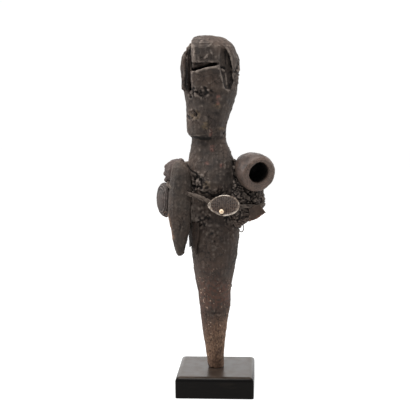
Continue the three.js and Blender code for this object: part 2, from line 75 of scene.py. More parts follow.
# The backdrop is seen as plain white, and the room gives the light of ROOM_LIGHT.
ROOM_LIGHT = 0.24
room = bpy.data.worlds.new("white_room")
room.use_nodes = True
backdrop = room.node_tree.nodes["Background"]
backdrop.inputs["Color"].default_value = (1, 1, 1, 1)
seen = room.node_tree.nodes.new("ShaderNodeLightPath").outputs["Is Camera Ray"]
strength = room.node_tree.nodes.new("ShaderNodeMapRange")
strength.inputs["To Min"].default_value = ROOM_LIGHT
strength.inputs["To Max"].default_value = 1.02
room.node_tree.links.new(seen, strength.inputs["Value"])
room.node_tree.links.new(strength.outputs[0], backdrop.inputs["Strength"])
scene.world = room


def softbox(name, place, size, watts):
    """A square lamp, out of the camera's sight, that faces the middle of the figure."""
    lamp = bpy.data.lights.new(name, "AREA")
    lamp.size = size
    lamp.energy = watts
    made = bpy.data.objects.new(name, lamp)
    scene.collection.objects.link(made)
    made.location = place
    aim = Vector((0, 0, 0.17)) - made.location
    made.rotation_euler = aim.to_track_quat("-Z", "Y").to_euler()
    made.visible_camera = False


softbox("overhead", Vector((-0.12, -0.15, 1.1)), 0.7, 20)
softbox("left_side", Vector((-0.8, 0.1, 0.45)), 0.6, 7)
softbox("right_side", Vector((0.85, 0.25, 0.45)), 0.6, 6)
softbox("behind", Vector((0, 1.3, 0.35)), 1.2, 12)


# Floor: a wide sheet of white card under and behind the block, lit from below as well so that it shows plain white. Materials are written here for the first time, so the
# two helpers that put them together are here as well.

class Wire:
    """The output of a shader node. Python's operators on it add the Math nodes that they stand for."""

    def __init__(self, finish, socket):
        self.finish = finish
        self.socket = socket

    def maths(self, operation, *values):
        sockets = dict(enumerate(values))
        return self.finish.node("ShaderNodeMath", {"operation": operation}, sockets)

    def __add__(self, other):
        return self.maths("ADD", self, other)

    __radd__ = __add__

    def __sub__(self, other):
        return self.maths("SUBTRACT", self, other)

    def __rsub__(self, other):
        return self.maths("SUBTRACT", other, self)

    def __mul__(self, other):
        return self.maths("MULTIPLY", self, other)

    __rmul__ = __mul__

    def between(self, low, high):
        """0 below low, 1 above high and a smooth step in between. high may be the lower one."""
        return self.finish.node("ShaderNodeMapRange", {"interpolation_type": "SMOOTHSTEP"},
                                {"Value": self, "From Min": low, "From Max": high})


class Finish:
    """A material that is being put together, read in the object's own coordinates."""

    def __init__(self, name):
        self.material = bpy.data.materials.new(name)
        self.material.use_nodes = True
        self.tree = self.material.node_tree
        self.tree.nodes.clear()
        self.place = self.node("ShaderNodeTexCoord", {}, {}, "Object")

    def node(self, kind, settings, sockets, output=0):
        made = self.tree.nodes.new(kind)
        for setting, value in settings.items():
            setattr(made, setting, value)
        for socket, value in sockets.items():
            if isinstance(value, Wire):
                self.tree.links.new(value.socket, made.inputs[socket])
            else:
                made.inputs[socket].default_value = value
        return Wire(self, made.outputs[output])

    def noise(self, size, detail=3.0, stretch=(1, 1, 1), output="Fac"):
        """Cloudy noise with patches of about a size in millimetres, drawn out where stretch is below 1."""
        place = self.node("ShaderNodeMapping", {}, {"Vector": self.place, "Scale": stretch}, "Vector")
        return self.node("ShaderNodeTexNoise", {}, {"Vector": place, "Scale": 1000 / size, "Detail": detail}, output)

    def cracks(self, size, stretch=(1, 1, 1)):
        """0 on the cracks of a broken-up crust with plates of about a size, rising across each plate."""
        bent = self.node("ShaderNodeVectorMath", {"operation": "MULTIPLY_ADD"},
                         {0: self.noise(size * 1.5, 2, stretch, "Color"), 1: (0.0025,) * 3, 2: self.place})
        return self.node("ShaderNodeTexVoronoi", {"feature": "DISTANCE_TO_EDGE"},
                         {"Vector": bent, "Scale": 1000 / size}, "Distance")

    def mark(self, name):
        """What the piece's mesh says of each point under a name, from 0 to 1."""
        return self.node("ShaderNodeAttribute", {"attribute_name": name}, {}, "Fac")

    def blend(self, under, over, share):
        """One colour laid over another. Colours are wires or three numbers from 0 to 255."""
        under, over = [hue if isinstance(hue, Wire) else paint(*hue) for hue in (under, over)]
        return self.node("ShaderNodeMix", {"data_type": "RGBA"}, {0: share, 6: under, 7: over}, 2)

    def close(self, colour, roughness, height=None, depth=0.4, **constants):
        """The finished surface. depth is how high in millimetres a height of 1 stands."""
        sockets = {"Base Color": colour, "Roughness": roughness}
        for word, value in constants.items():
            sockets[word.replace("_", " ").title().replace("Ior", "IOR")] = value
        if height is not None:
            sockets["Normal"] = self.node("ShaderNodeBump", {}, {"Distance": depth * MM, "Height": height}, "Normal")
        skin = self.node("ShaderNodeBsdfPrincipled", {}, sockets, "BSDF")
        end = self.tree.nodes.new("ShaderNodeOutputMaterial")
        self.tree.links.new(skin.socket, end.inputs["Surface"])
        return self.material


def paint(red, green, blue):
    """A colour read off a screen, 0 to 255, as the shader's own light values."""
    shares = [value / 255 for value in (red, green, blue)]
    return tuple(s / 12.92 if s <= 0.04045 else ((s + 0.055) / 1.055) ** 2.4 for s in shares) + (1.0,)


def dress(piece, material, slot, *nodes):
    """Gives a finished piece its material and its place on the body, and hides the CAD nodes that it stands for."""
    piece.data.materials.clear()
    piece.data.materials.append(material)
    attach(piece, "root")
    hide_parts(*nodes)


def linked(name, form):
    """A bmesh as an object of the scene, at the origin."""
    mesh = bpy.data.meshes.new(name)
    form.to_mesh(mesh)
    form.free()
    mesh.shade_smooth()
    made = bpy.data.objects.new(name, mesh)
    scene.collection.objects.link(made)
    return made


card = Finish("white_card")
card_colour = card.blend((108, 108, 107), (112, 112, 111), card.noise(300))
white_card = card.close(card_colour, 0.9, card.noise(2), 0.02, specular_ior_level=0.1,
                        emission_color=(1, 1, 1, 1), emission_strength=0.97)

form = bmesh.new()
bmesh.ops.create_grid(form, x_segments=1, y_segments=1, size=4)
floor = linked("floor", form)
floor.data.materials.append(white_card)


# Plinth: a square block of hardwood under black satin lacquer, its top edges rounded over. Newer than the figure, so
# it has only dust and a few faint rubs; its top face is also painted paler brown as a painted sheen.

PLINTH_SIDE = 70
PLINTH_HEIGHT = 19.4
PLINTH_ROUNDING = 4.2
PLINTH_CORNER = 1.6

ROUNDING_STEPS = 10

# Each level of the block as its height and its share of the full width
levels = [(0.5, 1.0), (1.0, 1.0), (PLINTH_HEIGHT - PLINTH_ROUNDING - 0.5, 1.0), (PLINTH_HEIGHT - PLINTH_ROUNDING, 1.0)]
for step in range(1, ROUNDING_STEPS + 1):
    turn = math.pi / 2 * step / ROUNDING_STEPS
    inset = PLINTH_ROUNDING * (1 - math.cos(turn))
    levels.append((PLINTH_HEIGHT - PLINTH_ROUNDING * (1 - math.sin(turn)), 1 - 2 * inset / PLINTH_SIDE))
levels.append((PLINTH_HEIGHT, levels[-1][1] - 0.02))

form = bmesh.new()
bmesh.ops.create_grid(form, x_segments=1, y_segments=1, size=(PLINTH_SIDE / 2 - 0.4) * MM)
bmesh.ops.bevel(form, geom=form.verts[:], offset=PLINTH_CORNER * MM, segments=4, profile=0.5, affect="VERTICES",
                material=-1)
form.faces.ensure_lookup_table()
top = form.faces[0]
below, width = 0.0, 1 - 0.8 / PLINTH_SIDE
for level, share in levels:
    made = bmesh.ops.extrude_face_region(form, geom=[top])["geom"]
    if below:
        bmesh.ops.delete(form, geom=[top], context="FACES_ONLY")
    top = next(part for part in made if isinstance(part, bmesh.types.BMFace))
    bmesh.ops.translate(form, verts=top.verts, vec=(0, 0, (level - below) * MM))
    bmesh.ops.scale(form, verts=top.verts, vec=(share / width, share / width, 1))
    below, width = level, share
bmesh.ops.recalc_face_normals(form, faces=form.faces)
plinth = linked("plinth_block", form)

lacquer = Finish("black_lacquer")
height_here = lacquer.node("ShaderNodeSeparateXYZ", {}, {"Vector": lacquer.place}, "Z") * 1000
top_face_sheen = height_here.between(PLINTH_HEIGHT - 1.6, PLINTH_HEIGHT - 0.3)
dust = lacquer.noise(9, 6).between(0.3, 0.8)
rubs = lacquer.noise(3, 4, (0.12, 1, 1)).between(0.62, 0.75)
lacquer_colour = lacquer.blend((15, 14, 14), (40, 34, 30), rubs * 0.25)
# The top face is painted a paler brown: half of it on the whole top as a painted sheen of the bright room, half
# following the dust.
lacquer_colour = lacquer.blend(lacquer_colour, (56, 46, 39), top_face_sheen * (0.5 + 0.5 * dust))
satin = lacquer.close(lacquer_colour, 0.3 + 0.12 * dust * top_face_sheen + 0.06 * rubs, lacquer.noise(9, 2), 0.02,
                      specular_ior_level=0.07, specular_tint=(1, 0.93, 0.86, 1))
dress(plinth, satin, "plinth_lacquer", "plinth")


# Carved figure: one piece of dense wood, head to foot, under a crust of clay and old offerings. It starts from the
# CAD solid, is given an even skin of small faces, and is then carved: wood grain, clay, cracks, pits and worn edges,
# with painted shade in its hollows and a painted highlight along ridges of the head.

def fine_copy(node, name, face, soften=2, filled=False, added=None):
    """A CAD node's shape as one even skin of small faces, about face millimetres across.

    A filled one has no grooves, and added puts more closed shapes into the bmesh before it gets its skin."""
    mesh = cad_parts[node].data.copy()
    form = bmesh.new()
    form.from_mesh(mesh)
    bmesh.ops.remove_doubles(form, verts=form.verts, dist=0.01 * MM)
    if filled:
        bmesh.ops.delete(form, geom=form.faces[:], context="FACES_ONLY")
        bmesh.ops.convex_hull(form, input=form.verts)
        loose = [vert for vert in form.verts if not vert.link_faces]
        bmesh.ops.delete(form, geom=loose, context="VERTS")
    if added:
        added(form)
    form.to_mesh(mesh)
    form.free()
    mesh.materials.clear()
    piece = bpy.data.objects.new(name, mesh)
    scene.collection.objects.link(piece)
    skin = piece.modifiers.new("skin", "REMESH")
    skin.mode = "VOXEL"
    skin.voxel_size = face * MM
    rounding = piece.modifiers.new("rounding", "SMOOTH")
    rounding.factor = 0.5
    rounding.iterations = soften
    made = piece.evaluated_get(bpy.context.evaluated_depsgraph_get())
    piece.data = bpy.data.meshes.new_from_object(made)
    piece.modifiers.clear()
    piece.data.shade_smooth()
    return piece


def skin_of(piece):
    """The points of a mesh in millimetres, and which way the surface faces at each."""
    mesh = piece.data
    points = np.empty(3 * len(mesh.vertices))
    facing = np.empty(3 * len(mesh.vertices))
    mesh.vertices.foreach_get("co", points)
    mesh.vertex_normals.foreach_get("vector", facing)
    return points.reshape(-1, 3) / MM, facing.reshape(-1, 3)


def smooth_step(values):
    values = np.clip(values, 0, 1)
    return values * values * (3 - 2 * values)


def dice(cells, seed):
    """A number from 0 to 1 for each whole-number cell, the same in every run."""
    mixed = cells[:, 0] * 73856093 ^ cells[:, 1] * 19349663 ^ cells[:, 2] * 83492791 ^ seed * 39916801
    mixed = (mixed ^ (mixed >> 13)) * 1274126177 & 0xFFFFFFFF
    mixed = (mixed ^ (mixed >> 15)) * 668265263 & 0xFFFFFFFF
    return (mixed >> 8) / float(1 << 24)


def lumps(points, size, seed, stretch=(1, 1, 1)):
    """Smooth noise from -1 to 1, with lumps of about a size in millimetres."""
    place = points * stretch / size
    cell = np.floor(place).astype(np.int64)
    share = smooth_step(place - cell)
    total = np.zeros(len(points))
    for corner in product((0, 1), repeat=3):
        weight = np.where(corner, share, 1 - share).prod(axis=1)
        total += weight * dice(cell + np.array(corner), seed)
    return 2 * total - 1


def clods(points, size, seed):
    """Rounded lumps from 0 to 1 with sharp winding creases between them."""
    return np.abs(lumps(points, size, seed)) + 0.5 * np.abs(lumps(points, size * 0.47, seed + 1))


def plates(points, size, seed, stretch=(1, 1, 1)):
    """A broken-up crust: how far in millimetres each point is from the nearest crack, and how high its block stands,
    from -1 to 1. Each block has its own height and slant."""
    bend = [lumps(points, size * 0.9, seed + shift) + 0.5 * lumps(points, size * 0.4, seed + 20 + shift)
            for shift in (1, 2, 3)]
    place = (points * stretch + np.stack(bend, axis=1) * size * 0.3) / size
    home = np.floor(place).astype(np.int64)
    first = np.full(len(points), 9.0)
    second = np.full(len(points), 9.0)
    stands = np.zeros(len(points))
    for step in product((-1, 0, 1), repeat=3):
        cell = home + np.array(step)
        middle = cell + np.stack([dice(cell, seed + shift) for shift in (4, 5, 6)], axis=1)
        slant = np.stack([dice(cell, seed + shift) for shift in (8, 9, 10)], axis=1) - 0.5
        away = np.sqrt(((place - middle) ** 2).sum(axis=1))
        nearer = away < first
        second = np.where(nearer, first, np.minimum(second, away))
        block = 2 * dice(cell, seed + 7) - 1 + 2 * ((place - middle) * slant).sum(axis=1)
        stands = np.where(nearer, block, stands)
        first = np.minimum(first, away)
    return (second - first) * size, stands


def stroke(points, route, width):
    """1 along a line drawn on the front view through (x, z) places, fading out over a width."""
    flat = points[:, (0, 2)]
    nearest = np.full(len(points), 1e6)
    for start, end in zip(route, route[1:]):
        start = np.array(start, float)
        run = np.array(end, float) - start
        share = np.clip(((flat - start) @ run) / max(run @ run, 1e-6), 0, 1)
        nearest = np.minimum(nearest, np.hypot(*(flat - start - share[:, None] * run).T))
    return smooth_step(1 - nearest / width)


def patch(points, x, z, half_width, half_height):
    """1 inside an oval patch of the front view, fading out at its edge."""
    away = np.hypot((points[:, 0] - x) / half_width, (points[:, 2] - z) / half_height)
    return smooth_step(1.6 - 1.2 * away)


def neighbour_mean(mesh, values):
    """Each point's values averaged over the points that share an edge with it."""
    ends = np.empty(2 * len(mesh.edges), dtype=np.int64)
    mesh.edges.foreach_get("vertices", ends)
    ends = ends.reshape(-1, 2)
    count = len(mesh.vertices)
    total = np.zeros((count, values.shape[1]))
    for axis in range(values.shape[1]):
        total[:, axis] = (np.bincount(ends[:, 0], values[ends[:, 1], axis], count)
                          + np.bincount(ends[:, 1], values[ends[:, 0], axis], count))
    return total / np.maximum(np.bincount(ends.ravel(), minlength=count), 1)[:, None]


def write_mark(piece, name, values):
    mark = piece.data.attributes.new(name, "FLOAT", "POINT")
    mark.data.foreach_set("value", np.clip(values, 0, 1).astype(np.float32))


def work(piece, height, marks, reach=0.22):
    """Moves each point out by its height in millimetres, and marks the dips, which take painted shade, and the raised
    points, which are paler as wear.

    reach is how deep in millimetres a dip is under its surroundings where its painted shade is full."""
    points, facing = skin_of(piece)
    points = points + facing * height[:, None]
    piece.data.vertices.foreach_set("co", (points * MM).ravel())
    piece.data.update()
    points, facing = skin_of(piece)
    mean = points
    for _ in range(4):
        mean = neighbour_mean(piece.data, mean)
    # Dips under the mean of the points around them are found here; the materials darken them as painted shade, for the
    # shadow that falls in them.
    below = ((mean - points) * facing).sum(axis=1, keepdims=True)
    below = neighbour_mean(piece.data, below)[:, 0] / reach
    write_mark(piece, "hollow", np.maximum(below, 0) + marks.pop("hollow", 0))
    write_mark(piece, "wear_and_highlight", np.maximum(-below, 0) + marks.pop("wear_and_highlight", 0))
    for name, values in marks.items():
        write_mark(piece, name, values)


def crumble(piece, places, facing, likely, count, sizes, seed):
    """Presses small crumbs of clay into a surface, more of them where likely is high."""
    chance = np.random.default_rng(seed)
    picked = chance.choice(len(places), count, p=likely / likely.sum())
    form = bmesh.new()
    for index in picked:
        size = chance.uniform(*sizes)
        turn = Matrix.Rotation(chance.uniform(0, 6.28), 4, Vector(chance.normal(size=3)).normalized())
        squash = Matrix.Diagonal((*chance.uniform(0.55, 1.0, 3), 1))
        spot = Matrix.Translation(Vector(places[index] - 0.15 * size * facing[index]) * MM)
        bmesh.ops.create_icosphere(form, subdivisions=1, radius=size / 2 * MM, matrix=spot @ turn @ squash)
    form.from_mesh(piece.data)
    form.to_mesh(piece.data)
    form.free()
    piece.data.shade_smooth()


def front(facing):
    """1 where a surface faces the front, 0 where it faces the sides or the back."""
    return smooth_step(-facing[:, 1] * 2.2)


# Lines of the front view, each as its width, its depth and its route
HEAD_CUTS = [
    (1.3, 0.9, [(1.9, 294.6), (6.1, 295.4)]),
    (1.6, 0.8, [(6.6, 292.4), (10.5, 291.4)]),
    (1.3, 0.5, [(11.4, 306.3), (11.3, 295.2)]),
    (1.2, 0.4, [(-9.8, 300.2), (-6.8, 301.5)]),
    (1.0, 0.4, [(-7.7, 314.8), (-2.9, 314.3)]),
    (1.6, 1.0, [(-16.5, 274.9), (-15.9, 274.1)]),
    (1.7, 1.2, [(-6.8, 274.7), (-5.6, 271.6), (-4.4, 270.3)]),
    (1.4, 0.8, [(-15.3, 271.7), (-13.1, 271.2)]),
    (1.3, 0.7, [(-10.8, 272.5), (-10.2, 270.6)]),
    (1.3, 0.6, [(-9, 268), (-8.8, 266.9)]),
    (1.5, 0.6, [(-1.8, 272.3), (0.4, 271)]),
    (1.4, 0.8, [(14.5, 277), (14.6, 274.9)]),
    (1.3, 0.7, [(18.2, 281.3), (16.8, 277.9)]),
    (2.2, 1.4, [(-23, 250.2), (-21.8, 248.9)]),
    (1.8, 0.5, [(-18.4, 231.7), (-13.6, 231.4), (-10.1, 230), (-2.9, 230.5)]),
    (1.9, 1.6, [(10.6, 235.8), (9.6, 234.6)]),
]
CHEST_CUTS = [
    (1.3, 0.9, [(-23.7, 205.9), (-21.5, 203.1)]),
    (1.4, 0.8, [(-20.5, 202.3), (-19, 201.2), (-16.1, 200.5)]),
    (1.3, 0.9, [(-14.9, 200.1), (-14.5, 198.8)]),
    (1.9, 1.5, [(-15.2, 196.6), (-13.2, 197.3)]),
    (1.2, 0.8, [(-18, 197.3), (-17.1, 197.8)]),
    (1.3, 0.9, [(-16.3, 196.1), (-17.2, 191.6)]),
    (1.2, 0.8, [(-12.2, 194.5), (-11.1, 193.7)]),
    (1.4, 1.3, [(-10.4, 195.4), (-10.4, 188.8), (-10.6, 186.6)]),
    (1.2, 0.7, [(-9.8, 197.6), (-8.5, 196.3), (-8.4, 192)]),
    (1.4, 1.1, [(-20.5, 188.9), (-18.2, 188.7), (-15.3, 188.2), (-12.6, 188.8)]),
    (1.5, 1.2, [(-18, 187.9), (-17.5, 185.3), (-16.4, 184.5)]),
    (1.2, 0.9, [(-7.2, 187.1), (-5, 187.3), (-4.7, 188.4)]),
    (1.2, 0.6, [(-7.1, 191.5), (-5.8, 190.7)]),
    (1.8, 1.4, [(-11.1, 183.9), (-9.1, 182.7), (-7.3, 182.3)]),
    (1.6, 1.0, [(-6.4, 183), (-3.8, 182.1), (-1.4, 180.4), (2.2, 180.2), (5.8, 181.5), (9.3, 183.7)]),
    (1.4, 0.9, [(17.2, 209.8), (17.4, 208.1), (17, 205.7)]),
]
HEAD_RIDGES = [
    (1.5, 0.45, [(-13.1, 289.2), (-6.1, 290.8), (0, 292), (3.5, 292.4)]),
    (1.2, 0.4, [(6, 291.1), (8.4, 290.8), (10, 289.1)]),
    (1.3, 0.6, [(11.2, 287), (11.9, 283), (12, 277.9)]),
    (1.0, 0.3, [(-5.9, 300.4), (-4, 302.6)]),
    (0.9, 0.25, [(-4.2, 302.3), (-4, 300.6)]),
    (1.0, 0.25, [(-2.4, 310.4), (-0.7, 312.1)]),
    (1.1, 0.25, [(-1.1, 306.9), (0.1, 303.5)]),
    (2.2, 0.3, [(-16.4, 310.7), (-15.8, 305.5), (-15.6, 298.7)]),
    (1.2, 0.3, [(11.6, 309.5), (13.7, 307.9), (14.6, 305.3)]),
]

# Patches of the front view, as x, z, half width and half height
CRUMBLED = [(-10, 271, 11, 5), (-15, 192, 8, 9), (-17, 251, 6, 5), (-9, 158, 8, 9), (15, 157, 6, 6), (4, 184, 9, 3)]
OCHRE = [(-16, 251.5, 5, 4.5), (-6.4, 242, 3.4, 3.6), (4, 259, 3.5, 2.4), (8, 239, 3, 1.6), (-6, 190, 3.6, 4)]
REDDENED = [(5, 266.6, 1.8, 2.6), (4.4, 261.4, 1.6, 1.8), (-2.2, 235.4, 1.8, 3.4), (-0.9, 222, 2.4, 3),
            (7.7, 207, 2, 2), (-5.4, 209, 2, 1.6)]
BARE_WOOD_BELOW = 58
FOOT_HELD = 19.7

# Splinters left standing in the break at the left of the head, each as x, y, foot, shoulder, tip and width
SPLINTERS = [
    (-26.6, -13.2, 274, 300, 304.6, 1.8), (-24.9, -14.6, 272, 297, 307.4, 1.5), (-23.3, -13.4, 276, 303, 309.8, 1.6),
    (-21.9, -15.4, 272, 300, 306.4, 1.3), (-20.6, -13.4, 270, 304, 311.2, 1.5), (-19.3, -15.8, 270, 290, 297.6, 1.2),
    (-19.4, -11.6, 280, 308, 313.6, 1.5), (-21.8, -11.2, 280, 305, 310.4, 1.6), (-24.4, -11.6, 280, 301, 306.2, 1.6),
]


def splinters(form):
    for x, y, foot, shoulder, tip, width in SPLINTERS:
        spot = Matrix.Translation(Vector((x, y, (foot + shoulder) / 2)) * MM) @ Matrix.Rotation(x, 4, "Z")
        made = bmesh.ops.create_cone(form, cap_ends=True, segments=5, radius1=width * 0.6 * MM,
                                     radius2=width * 0.5 * MM, depth=(shoulder - foot) * MM, matrix=spot)
        top = max({face for vert in made["verts"] for face in vert.link_faces},
                  key=lambda face: face.calc_center_median().z)
        end = bmesh.ops.poke(form, faces=[top])["verts"]
        bmesh.ops.translate(form, verts=end, vec=(0.2 * MM, 0, (tip - shoulder) * MM))


figure = fine_copy("carved_figure", "figure_skin", 0.76, added=splinters)
points, facing = skin_of(figure)

# Nothing on it is ruled: every edge of the carving wavers a little
waver = [0.4 * lumps(points, 9, 31 + shift) + 0.3 * lumps(points, 3.2, 34 + shift) for shift in (0, 1, 2)]
points += np.stack(waver, axis=1) * (0.35 + 0.65 * smooth_step((points[:, 2] - 115) / 20))[:, None]
points[:, 2] = np.maximum(points[:, 2], FOOT_HELD)

# The back of the eye slot leans forward towards its upper edge, and the hollow at the right runs out softly at its
# inner edge
slot_floor = 291.3 + 0.23 * (points[:, 0] + 7.8)
in_slot = smooth_step((points[:, 1] + 16) / 3) * smooth_step((-9 - points[:, 1]) / 2)
in_slot *= (np.abs(points[:, 0] + 6) < 11.8) & (points[:, 2] > slot_floor - 0.4) & (points[:, 2] < 297.2)
points[:, 1] -= 5.5 * in_slot * smooth_step((points[:, 2] - slot_floor - 1.2) / 2.4)
easing = np.exp(-((points[:, 0] - 9) / 3.6) ** 2) * smooth_step((points[:, 2] - 292) / 5) * front(facing)
easing *= smooth_step((-12 - points[:, 1]) / 2)
for _ in range(40):
    points += easing[:, None] * (neighbour_mean(figure.data, points) - points)
figure.data.vertices.foreach_set("co", (points * MM).ravel())
figure.data.update()

points, facing = skin_of(figure)
toward = front(facing)
level = points[:, 2]
head_face = smooth_step((level - 238) / 8) * toward
smooth_face = np.maximum(patch(points, -4, 304, 14, 9), patch(points, -2, 281, 14, 9)) * toward

crumbled = sum(patch(points, *place) for place in CRUMBLED) * toward
crumbled = np.clip(crumbled + smooth_step(lumps(points, 24, 11) * 2.2 - 1.1) * (1 - smooth_face), 0, 1)
crack_edge, block = plates(points, 7.5, 20)
crack_width = 0.2 + 0.9 * smooth_step(0.4 + lumps(points, 6, 21))
crack = smooth_step(1.2 - crack_edge / crack_width)
small_edge, small_block = plates(points, 3.2, 22)
small_crack = smooth_step(1.1 - small_edge / 0.5) * smooth_step(lumps(points, 7, 23) * 2 + 0.2)
fibre = lumps(points, 1.7, 41, (1, 1, 0.1)) + 0.6 * lumps(points, 1.2, 42, (1, 1, 0.15))
rough = 0.5 * lumps(points, 8, 43) + 0.4 * lumps(points, 4, 47) + 0.6 * clods(points, 3.2, 44) - 0.3
rough += 0.25 * lumps(points, 1.5, 45)
bare = smooth_step((BARE_WOOD_BELOW + 12 * lumps(points, 14, 46) + 0.8 * points[:, 0] - level) / 26 + 0.5)
cleft = smooth_step((-16.5 - points[:, 0]) / 2) * smooth_step((level - 268) / 6) * smooth_step((309 - level) / 4)

coarse = np.interp(level, [20, 80, 120, 135, 165, 200, 228, 240, 320], [0.3, 0.3, 0.4, 0.8, 0.9, 0.6, 0.5, 0.42, 0.36])
growth = np.sin((level + 0.25 * points[:, 0] + 3.4 * lumps(points, 11, 50)) * 2 * math.pi / 2.4)
growth *= smooth_step((level - 306) / 5) * smooth_step(0.6 + lumps(points, 5, 58))
height = rough * coarse * (1.0 - 0.4 * smooth_face) + 0.12 * fibre + 0.1 * growth
height += cleft * (0.4 * fibre + 0.9 * lumps(points, 2.2, 51, (1, 1, 0.12)))
height += crumbled * (0.45 * block - 0.8 * crack + 0.35 * small_block - 0.45 * small_crack)
height += crumbled * (0.35 * clods(points, 2.2, 48) - 0.1)
# The cut lines are carved in and also darkened as painted shade, through the mark for dips.
cut_shade = np.zeros(len(points))
for width, depth, route in HEAD_CUTS + CHEST_CUTS:
    cut = stroke(points + 0.5 * np.stack([lumps(points, 2.5, 49)] * 3, axis=1), route, width) * toward
    height -= depth * cut
    cut_shade = np.maximum(cut_shade, cut * min(1, depth))
# The ridge lines are raised and also painted paler, a painted highlight along the lit ledges of the head.
ridge_highlight = np.zeros(len(points))
for width, rise, route in HEAD_RIDGES:
    ridge = stroke(points, route, width) * toward
    height += rise * ridge
    ridge_highlight = np.maximum(ridge_highlight, ridge)

# In the marks below, painted shade goes into the cuts, cracks, eye slot, cleft and every dip, and over the belly and
# upper stake; the paler wear mark is also a painted highlight along the head's ridge lines.
work(figure, height, {
    "hollow": 0.7 * cut_shade + 0.35 * crumbled * np.maximum(crack, small_crack) + 0.35 * in_slot + 0.3 * cleft,
    "wear_and_highlight": 0.8 * ridge_highlight + 0.15 * np.maximum(growth, 0),
    "split": np.maximum(cleft, in_slot),
    "belly_shade": smooth_step((186 - level) / 12) * smooth_step((level - 100) / 30),
    "rusty": smooth_step((128 - level) / 34) * smooth_step(0.75 + lumps(points, 18, 59)),
    "bare": bare,
    "ochre": sum(patch(points, *place) for place in OCHRE) * toward,
    "red": sum(patch(points, *place) for place in REDDENED) * toward,
}, 0.3)
likely = crumbled + 0.12 * (level > 95)
likely *= (level < 306) * (level > 60) * (1 - smooth_face) + 0.0001
crumble(figure, points, facing, likely, 420, (0.9, 2.4), 5)


def caked(name, dark, middle, pale, extras=None, rough=0.8, deep=0.4, grain=0.22):
    """Clay and soot on wood: three browns in patches, painted shade near black in the hollows and the cracks, paler on
    raised points as wear and, on the figure, along ridge lines as a painted highlight.
    """
    cake = Finish(name)
    patches = cake.noise(18, 4).between(0.36, 0.64)
    motes = cake.noise(5, 8).between(0.32, 0.68)
    grit = cake.noise(1.7, 4).between(0.6, 0.7) * cake.noise(11, 3).between(0.46, 0.6)
    fibres = cake.noise(1.5, 4, (1, 1, 0.16)).between(0.56, 0.72)
    warmth = cake.noise(26, 3).between(0.4, 0.65)
    hollow = cake.mark("hollow").between(0.05, 0.75)
    wear_and_highlight = cake.mark("wear_and_highlight").between(0.05, 0.9)
    colour = cake.blend(dark, middle, patches * 0.4 + motes * 0.6)
    colour = cake.blend(colour, (84, 64, 52), warmth * 0.25)
    # Raised points are paler as wear; on the figure the same mark also carries a painted highlight along the head's
    # ridge lines.
    colour = cake.blend(colour, pale, wear_and_highlight * (0.35 + 0.5 * motes) + grit * 0.3 + fibres * grain)
    if extras:
        colour = extras(cake, colour)
    # Crack lines: their near-black colour below is painted shade, for the shadow down in the cracks.
    shaded_seam = cake.cracks(6.5).between(0.055, 0.0) * cake.noise(13, 3).between(0.5, 0.6)
    shaded_hairline = cake.cracks(3.1).between(0.08, 0.0) * cake.noise(7, 3).between(0.5, 0.62)
    split = shaded_seam * 0.75 + shaded_hairline * 0.5
    # Painted shade: hollows and crack lines are darkened towards near black, for the shadow in them.
    colour = cake.blend(colour, (13, 10, 9), hollow * 0.9)
    colour = cake.blend(colour, (18, 14, 12), split)
    relief = cake.noise(1.1, 5) * 0.5 + cake.noise(2.4, 5) * 0.5 - split * 0.6
    return cake.close(colour, rough + 0.12 * motes, relief, deep, specular_ior_level=0.3)


def figure_colours(cake, colour):
    """What only the figure shows: ochre clay, red stains, painted shade over the belly and stake, and the foot, brown
    and gritty with pale specks.
    """
    spread = cake.noise(2.4, 4).between(0.35, 0.6)
    # Painted shade: the belly and upper stake, which face down away from the overhead lamp, are darkened.
    colour = cake.blend(colour, (22, 18, 17), cake.mark("belly_shade") * 0.22)
    colour = cake.blend(colour, (50, 34, 27), cake.mark("split") * spread * 0.75)
    colour = cake.blend(colour, (100, 84, 62), cake.mark("ochre") * spread * 0.55)
    colour = cake.blend(colour, (116, 78, 70), cake.mark("red") * spread * 0.6)
    rusty = cake.mark("rusty")
    colour = cake.blend(colour, (92, 58, 46), rusty * spread * 0.45)
    grain = cake.noise(1.5, 6, (1, 1, 0.6)).between(0.22, 0.78)
    wood = cake.blend((62, 44, 34), (142, 112, 90), grain)
    wood = cake.blend(wood, (48, 36, 30), cake.noise(5, 4).between(0.5, 0.72) * 0.7)
    colour = cake.blend(colour, wood, cake.mark("bare") * 0.85)
    specks = cake.noise(1.9, 2).between(0.63, 0.69) * cake.noise(9, 3).between(0.46, 0.58)
    return cake.blend(colour, (186, 158, 138), specks * rusty * 0.85)


dress(figure, caked("caked_wood", (38, 32, 29), (66, 57, 51), (118, 107, 99), figure_colours),
      "caked_wood", "carved_figure")


# Bound peg: a stout rounded stick held upright against the chest at the left, under a smooth coat of clay that is
# coloured paler and warmer in a line down its outer front edge.

peg = fine_copy("bound_peg", "peg_skin", 0.55, filled=True)
points, facing = skin_of(peg)
toward = front(facing)
peg_grain = lumps(points, 2.2, 51, (1, 1, 0.12))
peg_rough = 0.5 * lumps(points, 5, 52) + 0.5 * clods(points, 3, 53) + 0.25 * lumps(points, 1.5, 54) - 0.25
peg_edge, peg_block = plates(points, 6, 55, (1, 1, 0.6))
broken = smooth_step(lumps(points, 14, 56) * 2.2 - 0.5)
peg_crack = smooth_step(1 - peg_edge / 0.8) * broken
height = 0.7 * peg_rough + 0.12 * peg_grain - 0.6 * peg_crack + 0.25 * peg_block * broken
PEG_PALE_LINE = [(-40.4, 163), (-38.4, 152), (-36.6, 142)]
pale_edge_line = stroke(points, PEG_PALE_LINE, 2.4) * smooth_step(-facing[:, 1] + 0.6)
work(peg, height, {"hollow": 0.4 * peg_crack, "pale_edge_line": pale_edge_line}, 0.3)
crumble(peg, points, facing, 0.2 + smooth_step((points[:, 0] + 26) / 4), 70, (0.8, 1.8), 57)


